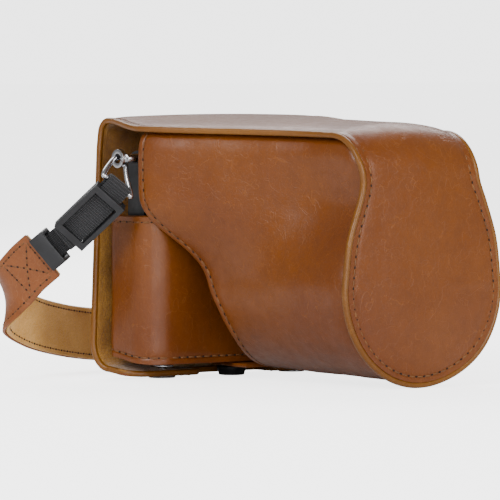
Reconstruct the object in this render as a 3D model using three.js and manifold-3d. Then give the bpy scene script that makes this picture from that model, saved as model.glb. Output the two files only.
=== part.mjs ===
// Leather ever-ready case for a small system camera, with its carrying strap.
// Millimetres, +Z up. The origin is the centre of the tripod screw's flat end, on the plane the case
// stands on. -Y is the lens end, +Y the back, X runs across the camera.
import * as THREE from "three";
import { mergeVertices } from "three/addons/utils/BufferGeometryUtils.js";
import Module from "manifold-3d";

const wasm = await Module();
wasm.setup();

// Driving dimensions.
const GAP = 0.3; // clearance between touching layers
const LEATHER = 1.7; // outer leather
const LINING = 1.2; // suede lining
const SKIN = LEATHER + GAP + LINING; // both layers together
const BINDING = 2.3; // rolled edge binding, measured outwards

const BACK_Y = 15.2; // outer face of the back panel
const FRONT_Y = -102; // outer face of the lens end
const TOP_Z = 92; // crown of the top panel
const CROWN = 3; // how far the top panel falls to its edges
const CROWN_BACK = 0.9; // the same at its rear end
const BACK_R = 5; // rounding from back to top
const FRONT_R = 16; // rounding from top to lens end
const LOBE_R = 34.6; // round lens end, over its binding
const LOBE_Z = 34.6;
const FOLD_Z = 80; // fold line between cover and back panel
const UNDER_R = 7; // rounding from back panel to under flap
const UNDER_Z = 0.9; // underside of the under flap's leather
const UNDER_END_Y = -4; // free edge of the under flap
const UNDER_FOLD_Y = BACK_Y - UNDER_R;
const NOTCH_X = 16; // half width of the notch that clears the tripod screw

const CASE_X = 49.5; // half width of the half case
const CASE_FRONT = -15;
const CASE_BACK = 9.6;
const CASE_R_FRONT = 10;
const CASE_R_BACK = 5;
const CASE_TOP = 58;
const BACK_WALL_TOP = 26;
const SOLE_Z = 5.6;
const SOLE_T = 1.9;
const SHELL_Z = SOLE_Z + SOLE_T + GAP;
const BOARD_T = 1.5;
const PORT_R = 22; // lens port in the half case's front wall
const PORT_Z = 36;

const TONGUE_Z = 4;
const TONGUE_T = 1.3;
const TONGUE_FOLD_Y = -17;
const TONGUE_X = 12;
const TONGUE_ROOT_Y = -23;
const TONGUE_END_R = 7.5;

const LUG_Y = -4;
const LUG_Z = 78;
const PLATE_X = 45.6; // outer face of the lug plates
const PLATE_TOP = 80.8;
const LUG_X = 54.2; // where the strap ring pivots
const WEB_HALF = 4.5; // half width of the webbing
const WEB_T = 1.1;
const BAND_HALF = 9.2; // half width of the leather strap band
const BAND_T = 1.3;
const SUEDE_T = 1.0;

const COLOURS = {
  leather: [0xa5612a, 0.42, 0],
  suede: [0xa9772f, 0.95, 0],
  binding: [0xb27a2c, 0.55, 0],
  board: [0x4a3a2c, 0.9, 0],
  steel: [0xb8b8ba, 0.25, 1],
  black: [0x1c1c1e, 0.45, 0],
  webbing: [0x101012, 0.85, 0],
};

const group = new THREE.Group();
const vec = (x, y, z) => new THREE.Vector3(x, y, z);

function put(name, geometry, finish) {
  const [color, roughness, metalness] = COLOURS[finish];
  const mesh = new THREE.Mesh(geometry, new THREE.MeshStandardMaterial({ color, roughness, metalness }));
  mesh.name = name;
  group.add(mesh);
}

// A geometry from points and triangles, turned so that its faces point out.
function closedGeometry(points, triangles) {
  let volume = 0;
  const cross = new THREE.Vector3();
  for (let i = 0; i < triangles.length; i += 3) {
    const [a, b, c] = [points[triangles[i]], points[triangles[i + 1]], points[triangles[i + 2]]];
    volume += a.dot(cross.crossVectors(b, c));
  }
  if (volume < 0) triangles.reverse();
  const geometry = new THREE.BufferGeometry().setFromPoints(points);
  geometry.setIndex(triangles);
  return geometry;
}

// A body lofted through rings of equal count, with flat ends. A paired ring is a row of points out and
// the same row back, so its ends are closed pair by pair.
function loft(rings, paired = false) {
  const n = rings[0].length;
  const triangles = [];
  const quad = (a, b, c, d) => triangles.push(a, b, c, a, c, d);
  for (let i = 0; i + 1 < rings.length; i++) {
    for (let j = 0; j < n; j++) {
      const k = (j + 1) % n;
      const [a, b, c, d] = [i * n + j, i * n + k, (i + 1) * n + k, (i + 1) * n + j];
      if (paired && j >= n / 2) quad(b, c, d, a);
      else quad(a, b, c, d);
    }
  }
  const last = (rings.length - 1) * n;
  for (let j = 0; paired && j + 1 < n / 2; j++) {
    quad(j, n - 1 - j, n - 2 - j, j + 1);
    quad(last + j, last + j + 1, last + n - 2 - j, last + n - 1 - j);
  }
  for (let j = 1; !paired && j + 1 < n; j++) {
    triangles.push(0, j + 1, j);
    triangles.push(last, last + j, last + j + 1);
  }
  return closedGeometry(rings.flat(), triangles);
}

// A thick sheet: rows of [near face, far face] point pairs.
function sheet(rows) {
  const face = (row, side) => row.map((pair) => pair[side]);
  return loft(rows.map((row) => face(row, 0).concat(face(row, 1).reverse())), true);
}

function solidOf(geometry) {
  const bare = geometry.clone();
  bare.deleteAttribute("normal");
  bare.deleteAttribute("uv");
  const merged = mergeVertices(bare, 1e-4);
  return new wasm.Manifold(new wasm.Mesh({
    numProp: 3,
    vertProperties: new Float32Array(merged.attributes.position.array),
    triVerts: new Uint32Array(merged.index.array),
  }));
}

function geometryOf(solid) {
  const mesh = solid.getMesh();
  const geometry = new THREE.BufferGeometry();
  geometry.setAttribute("position", new THREE.BufferAttribute(new Float32Array(mesh.vertProperties), 3));
  geometry.setIndex(new THREE.BufferAttribute(new Uint32Array(mesh.triVerts), 1));
  return geometry;
}

function cut(geometry, ...tools) {
  return geometryOf(tools.reduce((body, tool) => body.subtract(solidOf(tool)), solidOf(geometry)));
}

function join(geometry, ...others) {
  return geometryOf(others.reduce((body, other) => body.add(solidOf(other)), solidOf(geometry)));
}

function box(x0, x1, y0, y1, z0, z1) {
  const made = new THREE.BoxGeometry(x1 - x0, y1 - y0, z1 - z0);
  return made.translate((x0 + x1) / 2, (y0 + y1) / 2, (z0 + z1) / 2);
}

function rod(x, y, z0, z1, radius, sides = 24, topRadius = radius) {
  const made = new THREE.CylinderGeometry(topRadius, radius, z1 - z0, sides);
  return made.rotateX(Math.PI / 2).translate(x, y, (z0 + z1) / 2);
}

function roundedPrism(inset, z0, z1) {
  const x = CASE_X - inset;
  const front = CASE_FRONT + inset;
  const back = CASE_BACK - inset;
  const rf = Math.max(CASE_R_FRONT - inset, 0.8);
  const rb = Math.max(CASE_R_BACK - inset, 0.8);
  const outline = new THREE.Shape();
  outline.moveTo(-x + rf, front);
  outline.lineTo(x - rf, front);
  outline.absarc(x - rf, front + rf, rf, -Math.PI / 2, 0, false);
  outline.lineTo(x, back - rb);
  outline.absarc(x - rb, back - rb, rb, 0, Math.PI / 2, false);
  outline.lineTo(-x + rb, back);
  outline.absarc(-x + rb, back - rb, rb, Math.PI / 2, Math.PI, false);
  outline.lineTo(-x, front + rf);
  outline.absarc(-x + rf, front + rf, rf, Math.PI, 1.5 * Math.PI, false);
  const made = new THREE.ExtrudeGeometry(outline, { depth: z1 - z0, bevelEnabled: false, curveSegments: 6 });
  return made.translate(0, 0, z0);
}

// A smooth curve through [x, y] points, x rising.
function through(points, x) {
  const last = points.length - 1;
  let i = 0;
  while (i < last - 1 && x > points[i + 1][0]) i++;
  const slope = (k) => {
    const a = points[Math.max(k - 1, 0)];
    const b = points[Math.min(k + 1, last)];
    return (b[1] - a[1]) / (b[0] - a[0]);
  };
  const [x0, y0] = points[i];
  const [x1, y1] = points[i + 1];
  const span = x1 - x0;
  const t = Math.min(Math.max((x - x0) / span, 0), 1);
  const m0 = slope(i) * span;
  const m1 = slope(i + 1) * span;
  const leaving = y0 * (1 + 2 * t) * (1 - t) ** 2 + m0 * t * (1 - t) ** 2;
  return leaving + y1 * t * t * (3 - 2 * t) - m1 * t * t * (1 - t);
}

// Half width of the cover's strip over its binding, by distance along it from the fold at the back.
const TOP_START = TOP_Z - BACK_R - FOLD_Z + (BACK_R * Math.PI) / 2;
const TOP_LENGTH = BACK_Y - BACK_R - FRONT_Y - FRONT_R;
const FACE_START = TOP_START + TOP_LENGTH + (FRONT_R * Math.PI) / 2;
const FACE_END = FACE_START + TOP_Z - FRONT_R - LOBE_Z;
const STRIP_WIDTH = [
  [0, 49.8],
  [TOP_START, 48.8],
  [TOP_START + 9, 51],
  [TOP_START + 18, 53],
  [TOP_START + 25, 53],
  [TOP_START + 46, 43.6],
  [TOP_START + 66, 34.6],
  [TOP_START + 85, 26.2],
  [TOP_START + TOP_LENGTH + 8, 24],
  [FACE_START, 24.8],
  [FACE_START + 10, 28],
  [FACE_START + 24, 32.4],
  [FACE_END, LOBE_R],
];

// Stations along the cover's strip. Each gives its half width and the point at depth d below the
// outer face, at t from -1 to 1 across the width.
function coverStations() {
  const stations = [];
  const crownAt = (t, along = TOP_LENGTH) => {
    const share = THREE.MathUtils.smoothstep(along, TOP_START, TOP_START + 24);
    const fall = CROWN_BACK + (CROWN - CROWN_BACK) * share;
    return TOP_Z - fall * t * t;
  };
  const add = (along, place) => stations.push({ width: through(STRIP_WIDTH, along), place });
  for (const f of [0, 1]) {
    add(f * (TOP_Z - BACK_R - FOLD_Z), (t, d) => {
      const z = FOLD_Z + 0.15 + f * (crownAt(t, 0) - BACK_R - FOLD_Z - 0.15);
      return [BACK_Y - d, z];
    });
  }
  for (let i = 1; i <= 3; i++) {
    const a = (i / 3) * (Math.PI / 2);
    add(TOP_START - BACK_R * (Math.PI / 2 - a), (t, d) => [
      BACK_Y - BACK_R + (BACK_R - d) * Math.cos(a),
      crownAt(t, 0) - BACK_R + (BACK_R - d) * Math.sin(a),
    ]);
  }
  for (let i = 1; i <= 9; i++) {
    const run = (i / 9) * TOP_LENGTH;
    add(TOP_START + run, (t, d) => [BACK_Y - BACK_R - run, crownAt(t, TOP_START + run) - d]);
  }
  for (let i = 1; i <= 4; i++) {
    const a = (i / 4) * (Math.PI / 2);
    add(TOP_START + TOP_LENGTH + FRONT_R * a, (t, d) => [
      FRONT_Y + FRONT_R - (FRONT_R - d) * Math.sin(a),
      crownAt(t) - FRONT_R + (FRONT_R - d) * Math.cos(a),
    ]);
  }
  for (let i = 1; i <= 5; i++) {
    const f = i / 5;
    add(FACE_START + f * (FACE_END - FACE_START), (t, d) => {
      const top = crownAt(t) - FRONT_R;
      return [FRONT_Y + d, top + f * (LOBE_Z - top)];
    });
  }
  for (let i = 1; i <= 8; i++) {
    const a = (i / 8) * (Math.PI / 2 - 0.05);
    stations.push({
      width: LOBE_R * Math.cos(a),
      inset: Math.cos(a),
      drop: Math.sin(a),
      place: (t, d, inset) => [FRONT_Y + d, LOBE_Z - (LOBE_R - inset) * Math.sin(a)],
    });
  }
  return stations;
}

const ACROSS = 4;
const acrossSteps = Array.from({ length: ACROSS + 1 }, (_, i) => (2 * i) / ACROSS - 1);

// The cover's strip between depths d0 and d1, narrower than the binding's edge by inset.
function coverLayer(d0, d1, inset) {
  return sheet(coverStations().map(({ width, place, inset: share = 1 }) => acrossSteps.map((t) => {
    const x = t * (width - inset * share);
    return [d0, d1].map((d) => {
      const [y, z] = place(t, d, inset);
      return vec(x, y, z);
    });
  })));
}

// The rolled binding along the cover's edge: up one side, round the lens end and back.
function coverBinding() {
  const side = (sign) => coverStations().map(({ width, place, inset = 1, drop = 0 }) => {
    const ring = [];
    for (const [out, d] of [[0.2, 0.9], [0.9, 0.1], [2, 0.1], [BINDING, 0.9], [BINDING, SKIN - 0.8],
      [2, SKIN], [0.9, SKIN], [0.2, SKIN - 0.8]]) {
      const [y, z] = place(sign, d, 0);
      ring.push(vec(sign * (width - out * inset), y, z + out * drop));
    }
    return ring;
  });
  const left = side(-1);
  const right = side(1).reverse();
  return loft(left.concat(right));
}

put("cover_panel", coverLayer(0, LEATHER, BINDING + GAP), "leather");
put("cover_lining", coverLayer(LEATHER + GAP, SKIN, BINDING + GAP), "suede");
put("cover_binding", coverBinding(), "binding");

// Gusset: the side walls and the lens tube, one sheet wrapped under the lens end.
const GUSSET_FRONT = FRONT_Y + SKIN + 0.6;
const GUSSET_INSET = 1.9; // how far the wall stands inside the binding's edge
const EDGE_TOP = TOP_Z - CROWN - SKIN - 0.7;
const REAR_EDGE = [ // rear edge of the gusset: height, y
  [3, -23.5],
  [8, -28.5],
  [15, -31.4],
  [25, -30],
  [34, -26.4],
  [42, -23.4],
  [48, -19.6],
  [53, -16],
  [59, -13],
  [67, -11],
  [TOP_Z, -11],
];

function stripWidthAtY(y) {
  return through(STRIP_WIDTH, TOP_START + BACK_Y - BACK_R - y);
}

function gussetTop(y) {
  const run = FRONT_Y + FRONT_R - y;
  const radius = FRONT_R - SKIN;
  return run <= 0 ? EDGE_TOP : EDGE_TOP - radius + Math.sqrt(Math.max(radius ** 2 - run ** 2, 0));
}

// A point of the gusset's wall at station y: a from 0, under the lens, to 1, at the top edge.
function gussetPoint(y, a, sign, depth) {
  const back = THREE.MathUtils.clamp((y - FRONT_Y) / 76, 0, 1);
  const radius = LOBE_R - GUSSET_INSET - 2.2 * back - depth;
  const side = LOBE_R - GUSSET_INSET - depth;
  if (a <= 0.45) {
    const angle = (a / 0.45) * (Math.PI / 2);
    return vec(sign * side * Math.sin(angle), y, LOBE_Z - radius * Math.cos(angle));
  }
  const share = (a - 0.45) / 0.55;
  const z = LOBE_Z + share * (gussetTop(y) - LOBE_Z);
  const wall = stripWidthAtY(Math.max(y, FRONT_Y + 12)) - GUSSET_INSET - depth;
  const rise = THREE.MathUtils.smoothstep(z, LOBE_Z, 64);
  return vec(sign * (side + (wall - side) * rise), y, z);
}

const GUSSET_AROUND = 28;
const GUSSET_ALONG = 6;
function gussetLayer(d0, d1, trim) {
  const rows = [];
  for (let i = 0; i <= GUSSET_AROUND; i++) {
    const around = (2 * i) / GUSSET_AROUND - 1;
    const a = Math.abs(around);
    const sign = Math.sign(around) || 1;
    let rear = -20;
    for (let pass = 0; pass < 4; pass++) rear = through(REAR_EDGE, gussetPoint(rear, a, sign, 0).z);
    const row = [];
    for (let j = 0; j <= GUSSET_ALONG; j++) {
      const y = GUSSET_FRONT + (j / GUSSET_ALONG) * (rear - GUSSET_FRONT) - (j < GUSSET_ALONG ? 0 : trim);
      row.push([gussetPoint(y, a, sign, d0), gussetPoint(y, a, sign, d1)]);
    }
    rows.push(row);
  }
  return sheet(rows);
}
put("cover_gusset", gussetLayer(0, 1.3, 0), "leather");
put("gusset_lining", gussetLayer(1.9, 2.7, 1.2), "suede");

// Back panel, hung from the cover's rear fold.
const BACK_TOP_HALF = 49.8;
const BACK_LOW_HALF = 52.8;
function backRows(d0, d1, inset) {
  const rows = [];
  const halfAt = (z) => BACK_LOW_HALF + ((BACK_TOP_HALF - BACK_LOW_HALF) * (z - 8)) / (FOLD_Z - 8) - inset;
  for (let i = 0; i <= 4; i++) {
    const z = FOLD_Z - 0.15 - (i / 4) * (FOLD_Z - 0.15 - UNDER_R - UNDER_Z);
    rows.push(acrossSteps.map((t) => [d0, d1].map((d) => vec(t * halfAt(z), BACK_Y - d, z))));
  }
  for (let i = 1; i <= 5; i++) {
    const a = (i / 5) * (Math.PI / 2);
    const half = halfAt(8) - 2.5 * (1 - Math.cos(a));
    rows.push(acrossSteps.map((t) => [d0, d1].map((d) => vec(
      t * half,
      BACK_Y - UNDER_R + (UNDER_R - d) * Math.cos(a),
      UNDER_Z + UNDER_R - (UNDER_R - d) * Math.sin(a),
    ))));
  }
  return rows;
}
put("back_panel", sheet(backRows(0, LEATHER, BINDING + GAP)), "leather");
put("back_lining", sheet(backRows(LEATHER + GAP, SKIN, BINDING + GAP)), "suede");
for (const [side, sign] of [["left", -1], ["right", 1]]) {
  const rings = backRows(0, SKIN, 0).map((row) => {
    const [outer, inner] = row[sign < 0 ? 0 : ACROSS];
    const at = (out, f) => outer.clone().lerp(inner, f).add(vec(-sign * out, 0, 0));
    return [at(BINDING, 0.28), at(1.6, 0.03), at(0.6, 0.03), at(0, 0.28), at(0, 0.72), at(0.6, 1),
      at(1.6, 1), at(BINDING, 0.72)];
  });
  put("back_binding_" + side, loft(rings), "binding");
}

// Under flap: two tabs joined behind the tripod screw, held by press studs.
const TAB_X = 30;
const TAB_Y = 2.4;
const FLAP_Y0 = UNDER_FOLD_Y - GAP;
function underFlap(z0, z1, inset) {
  const outline = new THREE.Shape();
  const wide = BACK_LOW_HALF - 2.5 - inset;
  const end = UNDER_END_Y + inset;
  outline.moveTo(-wide, FLAP_Y0);
  outline.lineTo(-wide + 1.5, 3);
  outline.quadraticCurveTo(-wide + 3, end, -wide + 11, end);
  outline.lineTo(-NOTCH_X - 3 - inset, end);
  outline.quadraticCurveTo(-NOTCH_X - inset, end, -NOTCH_X - inset, end + 3);
  const notchEnd = FLAP_Y0 - 2 + inset;
  outline.lineTo(-NOTCH_X - inset, notchEnd - 1);
  outline.quadraticCurveTo(-NOTCH_X - inset, notchEnd, -NOTCH_X + 1, notchEnd);
  outline.lineTo(NOTCH_X - 1, notchEnd);
  outline.quadraticCurveTo(NOTCH_X + inset, notchEnd, NOTCH_X + inset, notchEnd - 1);
  outline.lineTo(NOTCH_X + inset, end + 3);
  outline.quadraticCurveTo(NOTCH_X + inset, end, NOTCH_X + 3 + inset, end);
  outline.lineTo(wide - 11, end);
  outline.quadraticCurveTo(wide - 3, end, wide - 1.5, 3);
  outline.lineTo(wide, FLAP_Y0);
  outline.closePath();
  const made = new THREE.ExtrudeGeometry(outline, { depth: z1 - z0, bevelEnabled: false, curveSegments: 5 });
  made.translate(0, 0, z0);
  return cut(made, rod(-TAB_X, TAB_Y, -1, 9, 2), rod(TAB_X, TAB_Y, -1, 9, 2));
}
put("under_flap", underFlap(UNDER_Z, UNDER_Z + 1.5, 0), "leather");
put("under_flap_lining", underFlap(UNDER_Z + 1.8, UNDER_Z + 2.7, 1), "suede");
for (const [side, sign] of [["left", -1], ["right", 1]]) {
  const x = sign * TAB_X;
  const ring = (r0, r1, z0, z1) => cut(rod(x, TAB_Y, z0, z1, r1), rod(x, TAB_Y, z0 - 1, z1 + 1, r0));
  put("snap_cap_" + side, join(rod(x, TAB_Y, 0, 0.6, 4.6, 24, 5), rod(x, TAB_Y, 0.4, 3.6, 1.6)), "steel");
  put("snap_socket_" + side, ring(2.3, 4.2, 3.9, 4.6), "steel");
  put("snap_stud_" + side, join(rod(x, TAB_Y, 4.8, 5.1, 1.8), rod(x, TAB_Y, 5, 5.3, 4)), "steel");
}

// Half case: moulded leather tray, its lining, stiffening board and sole.
const screwHole = rod(0, 0, -1, 30, 5);
const port = join(
  new THREE.CylinderGeometry(PORT_R, PORT_R, 14, 40).translate(0, CASE_FRONT - 3, PORT_Z),
  box(-PORT_R, PORT_R, CASE_FRONT - 10, CASE_FRONT + 4, PORT_Z, CASE_TOP + 5),
);
const backWindow = box(-42, 42, 0, CASE_BACK + 5, BACK_WALL_TOP, CASE_TOP + 5);
function tray(outer, inner, floor, thickness) {
  const block = roundedPrism(outer, floor, CASE_TOP - outer * 0.3);
  return cut(block, roundedPrism(inner, floor + thickness, CASE_TOP + 5), port, backWindow, screwHole);
}
const BOARD_Z = SHELL_Z + 1.6 + GAP;
const LINING_Z = BOARD_Z + BOARD_T + GAP;
put("half_case_shell", tray(0, 1.8, SHELL_Z, 1.6), "leather");
put("half_case_board", cut(roundedPrism(3, BOARD_Z, BOARD_Z + BOARD_T), screwHole), "board");
put("half_case_lining", tray(2.1, 3.1, LINING_Z, 1), "suede");
put("half_case_sole", cut(roundedPrism(-0.8, SOLE_Z, SOLE_Z + SOLE_T), screwHole), "leather");

// Tripod screw, its bush and its retaining clip.
const BUSH_TOP = LINING_Z + 1 + 2 * GAP;
function ringAt(r0, r1, z0, z1) {
  return cut(rod(0, 0, z0, z1, r1), rod(0, 0, z0 - 1, z1 + 1, r0));
}
const bushTube = ringAt(3.7, 4.6, SOLE_Z + 0.1, BUSH_TOP + 0.8);
put("screw_bush", join(bushTube, ringAt(3.7, 6.2, BUSH_TOP, BUSH_TOP + 0.8)), "steel");
const HEAD_Z = 3.3;
const SCREW_TOP = 19;
const screwProfile = [
  [0, 0], [4.3, 0], [4.6, 0.3], [5.3, 2.9], [5, HEAD_Z], [3.2, HEAD_Z], [3.2, SCREW_TOP - 1],
  [2.4, SCREW_TOP], [0, SCREW_TOP]].map(([r, z]) => new THREE.Vector2(r, z));
put("tripod_screw", new THREE.LatheGeometry(screwProfile, 32).rotateX(Math.PI / 2), "black");
put("screw_clip", ringAt(3.5, 5, BUSH_TOP + 1.2, BUSH_TOP + 2), "steel");

// Tongue: the cover's lower tab, held under the tripod screw's head, split at its fold.
function tonguePlate(y0, y1, roundEnd) {
  const outline = new THREE.Shape();
  outline.moveTo(-TONGUE_X, y0);
  outline.lineTo(TONGUE_X, y0);
  if (roundEnd) {
    outline.lineTo(TONGUE_END_R, 0);
    outline.absarc(0, 0, TONGUE_END_R, 0, Math.PI, false);
  } else {
    outline.lineTo(TONGUE_X, y1);
    outline.lineTo(-TONGUE_X, y1);
  }
  outline.closePath();
  const made = new THREE.ExtrudeGeometry(outline, { depth: TONGUE_T, bevelEnabled: false, curveSegments: 10 });
  return made.translate(0, 0, TONGUE_Z);
}
put("tongue_tab", cut(tonguePlate(TONGUE_FOLD_Y + 0.15, 0, true), rod(0, 0, 0, 9, 3.6)), "leather");
put("tongue_root", tonguePlate(TONGUE_ROOT_Y, TONGUE_FOLD_Y - 0.15, false), "leather");

// Lug plates and eyelets that carry the strap, one on each side.
for (const [side, sign] of [["left", -1], ["right", 1]]) {
  const outline = new THREE.Shape();
  outline.moveTo(-7, 30);
  outline.lineTo(2, 30);
  outline.lineTo(2, 75);
  outline.quadraticCurveTo(2, PLATE_TOP, -4, PLATE_TOP);
  outline.quadraticCurveTo(-10.5, PLATE_TOP, -10.5, 75);
  outline.lineTo(-10.5, 62);
  outline.lineTo(-7, 59);
  outline.closePath();
  const plate = new THREE.ExtrudeGeometry(outline, { depth: 1.6, bevelEnabled: false, curveSegments: 6 });
  plate.rotateX(Math.PI / 2).rotateZ(Math.PI / 2);
  plate.translate(sign > 0 ? PLATE_X - 1.6 : -PLATE_X, 0, 0);
  put("lug_plate_" + side, plate, "black");

  const post = new THREE.CylinderGeometry(1.5, 2, LUG_X - PLATE_X - GAP - 0.5, 16);
  post.rotateZ(-sign * Math.PI / 2).translate(sign * (PLATE_X + GAP + LUG_X - 0.5) / 2, LUG_Y - 3.2, LUG_Z);
  const eyeOuter = new THREE.CylinderGeometry(3.3, 3.3, 1.8, 20).rotateZ(Math.PI / 2);
  const eyeHole = new THREE.CylinderGeometry(1.8, 1.8, 12, 16).rotateZ(Math.PI / 2);
  eyeOuter.translate(sign * LUG_X, LUG_Y, LUG_Z);
  eyeHole.translate(sign * LUG_X, LUG_Y, LUG_Z);
  put("lug_eyelet_" + side, cut(join(post, eyeOuter), eyeHole), "steel");
}

// Strap: each end runs from its lug as webbing, through an adjuster and a keeper, into a leather band
// that loops behind the case. Stations of the left half, from the ring down: centre, width direction.
const STRAP_END = [
  [[-59, -9, 68.6], [0.79, -0.28, -0.55]],
  [[-61.6, -5.6, 64], [0.74, -0.28, -0.61]],
  [[-66.8, 4.4, 54], [0.62, -0.3, -0.72]],
  [[-71.5, 13.8, 46], [0.42, -0.28, -0.86]],
];
const STRAP_BAND = [
  [[-71.5, 13.8, 46], [0.42, -0.28, -0.86]],
  [[-75, 22.5, 38.5], [0.3, -0.2, -0.93]],
  [[-75.6, 30, 31.5], [0.26, 0.02, -0.96]],
  [[-71.5, 36.4, 25.5], [0.15, 0.12, -0.98]],
  [[-60, 41, 20], [0.04, 0.08, -1]],
  [[-42, 46.5, 15.8], [0, 0, -1]],
  [[-20, 51.5, 13], [0, 0, -1]],
  [[0, 53, 12.2], [0, 0, -1]],
];

// Frames along a strap: centre, unit tangent, width and outward normal, evenly spaced.
function strapFrames(stations, steps) {
  const centres = new THREE.CatmullRomCurve3(stations.map(([p]) => vec(...p)), false, "centripetal");
  const widths = new THREE.CatmullRomCurve3(stations.map(([, w]) => vec(...w)), false, "centripetal");
  return Array.from({ length: steps + 1 }, (_, i) => {
    const t = centres.getUtoTmapping(i / steps);
    const tangent = centres.getTangent(t);
    const width = widths.getPoint(t);
    width.addScaledVector(tangent, -width.dot(tangent)).normalize();
    return { centre: centres.getPoint(t), tangent, width, out: tangent.clone().cross(width) };
  });
}

const mirrorX = (p) => vec(-p.x, p.y, p.z);
function corner(frame, w, n) {
  return frame.centre.clone().addScaledVector(frame.width, w).addScaledVector(frame.out, n);
}

function ribbonRings(frames, half, n0, n1) {
  const sides = [[-half, n0], [half, n0], [half, n1], [-half, n1]];
  return frames.map((f) => sides.map(([w, n]) => corner(f, w, n)));
}

function mirrored(rings) {
  return rings.map((ring) => ring.map(mirrorX));
}

// sign of the side that faces away from the case
const OUT = strapFrames(STRAP_BAND, 8)[0].out.x < 0 ? 1 : -1;
function bandRings(half, n0, n1) {
  const left = ribbonRings(strapFrames(STRAP_BAND, 44).slice(2), half, n0 * OUT, n1 * OUT);
  return left.concat(mirrored(left.slice(0, -1)).reverse());
}
put("strap_band", loft(bandRings(BAND_HALF, 0.15, 0.15 + BAND_T)), "leather");
put("strap_suede", loft(bandRings(BAND_HALF - 0.4, -0.15, -0.15 - SUEDE_T)), "suede");

// Webbing: up the back, round the ring's bar and down the front to the keeper.
function webbingRings() {
  const frames = strapFrames(STRAP_END, 10);
  const mid = 1.7;
  const back = frames.slice().reverse().map((f) => [f, -mid]);
  const front = frames.slice(0, -2).map((f) => [f, mid]);
  const ring = (f, n0, n1) => [corner(f, -WEB_HALF, n0 * OUT), corner(f, WEB_HALF, n0 * OUT),
    corner(f, WEB_HALF, n1 * OUT), corner(f, -WEB_HALF, n1 * OUT)];
  const rings = back.map(([f, n]) => ring(f, n + WEB_T / 2, n - WEB_T / 2));
  const top = frames[0];
  for (let i = 1; i <= 5; i++) {
    const a = -Math.PI / 2 + (i / 6) * Math.PI;
    const bend = (w, r) =>
      corner(top, w, r * Math.sin(a) * OUT).addScaledVector(top.tangent, -r * Math.cos(a));
    const [near, far] = [mid - WEB_T / 2, mid + WEB_T / 2];
    rings.push([bend(-WEB_HALF, near), bend(WEB_HALF, near), bend(WEB_HALF, far), bend(-WEB_HALF, far)]);
  }
  return rings.concat(front.map(([f, n]) => ring(f, n - WEB_T / 2, n + WEB_T / 2)));
}

// A block fixed to a strap frame: across, along and outwards.
function frameBlock(frame, w0, w1, s0, s1, n0, n1) {
  const made = new THREE.BoxGeometry(w1 - w0, s1 - s0, n1 - n0);
  made.translate((w0 + w1) / 2, (s0 + s1) / 2, (n0 + n1) / 2);
  const along = frame.tangent.clone();
  const out = frame.out.clone().multiplyScalar(OUT);
  const across = new THREE.Vector3().crossVectors(along, out);
  return made.applyMatrix4(new THREE.Matrix4().makeBasis(across, along, out).setPosition(frame.centre));
}

// Adjuster: a frame with end rails in front of the webbing and a bar between its layers.
function adjuster() {
  const frame = strapFrames(STRAP_END, 100)[41];
  const slot = frameBlock(frame, -WEB_HALF - 0.5, WEB_HALF + 0.5, -8.6, 8.6, -9, 9);
  const under = frameBlock(frame, -WEB_HALF - 0.5, WEB_HALF + 0.5, -20, 20, -9, 2.6);
  const rails = cut(frameBlock(frame, -6.6, 6.6, -11, 11, -0.6, 4), slot, under);
  return join(rails, frameBlock(frame, -5.8, 5.8, -1.4, 1.4, -0.6, 0.6));
}

function keeper() {
  const frame = strapFrames(STRAP_END, 100)[99];
  const inside = frameBlock(frame, -WEB_HALF - 0.6, WEB_HALF + 0.6, -9, 9, -2.5, 2.5);
  return cut(frameBlock(frame, -6.8, 6.8, -3, 3, -3.7, 3.7), inside);
}

// Ring: a wire triangle from the lug's eye to the webbing's loop.
function strapRing() {
  const frame = strapFrames(STRAP_END, 14)[0];
  const eye = vec(-LUG_X, LUG_Y, LUG_Z);
  const low = (w) => corner(frame, w, 0);
  const near = low(-6.3);
  const far = low(6.3);
  const apexSide = vec(1.7, 0, 0);
  const route = new THREE.CatmullRomCurve3([far, low(5), low(-5), near, near.clone().lerp(eye, 0.55)
    .addScaledVector(frame.width, -1.2), eye.clone().sub(apexSide), eye.clone().add(apexSide),
    far.clone().lerp(eye, 0.55).addScaledVector(frame.width, 1.2)], true, "centripetal");
  return closedWire(route, 0.65, 36, 6);
}

// A closed loop of round wire lying near a plane.
function closedWire(route, radius, steps, sides) {
  const points = route.getSpacedPoints(steps).slice(0, -1);
  const middle = points.reduce((sum, p) => sum.add(p), vec(0, 0, 0)).divideScalar(points.length);
  const first = points[0].clone().sub(middle);
  const quarter = points[steps >> 2].clone().sub(middle);
  const normal = new THREE.Vector3().crossVectors(first, quarter);
  normal.normalize();
  const vertices = [];
  const triangles = [];
  points.forEach((p, i) => {
    const tangent = points[(i + 1) % steps].clone().sub(points[(i + steps - 1) % steps]).normalize();
    const outwards = new THREE.Vector3().crossVectors(tangent, normal).normalize();
    const up = new THREE.Vector3().crossVectors(outwards, tangent);
    for (let j = 0; j < sides; j++) {
      const a = (2 * Math.PI * j) / sides;
      const across = p.clone().addScaledVector(outwards, radius * Math.cos(a));
      vertices.push(across.addScaledVector(up, radius * Math.sin(a)));
      const [b, c] = [i * sides + ((j + 1) % sides), ((i + 1) % steps) * sides + j];
      const d = ((i + 1) % steps) * sides + ((j + 1) % sides);
      triangles.push(i * sides + j, c, b, b, c, d);
    }
  });
  return closedGeometry(vertices, triangles);
}

function mirrorGeometry(geometry) {
  const made = geometry.clone().applyMatrix4(new THREE.Matrix4().makeScale(-1, 1, 1));
  return made.setIndex(Array.from(made.index.array).reverse());
}

for (const [name, made, finish] of [
  ["webbing", loft(webbingRings()), "webbing"],
  ["adjuster", adjuster(), "black"],
  ["keeper", keeper(), "black"],
  ["strap_ring", strapRing(), "steel"],
]) {
  put(name + "_left", made, finish);
  put(name + "_right", mirrorGeometry(made), finish);
}

export default group;
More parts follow.
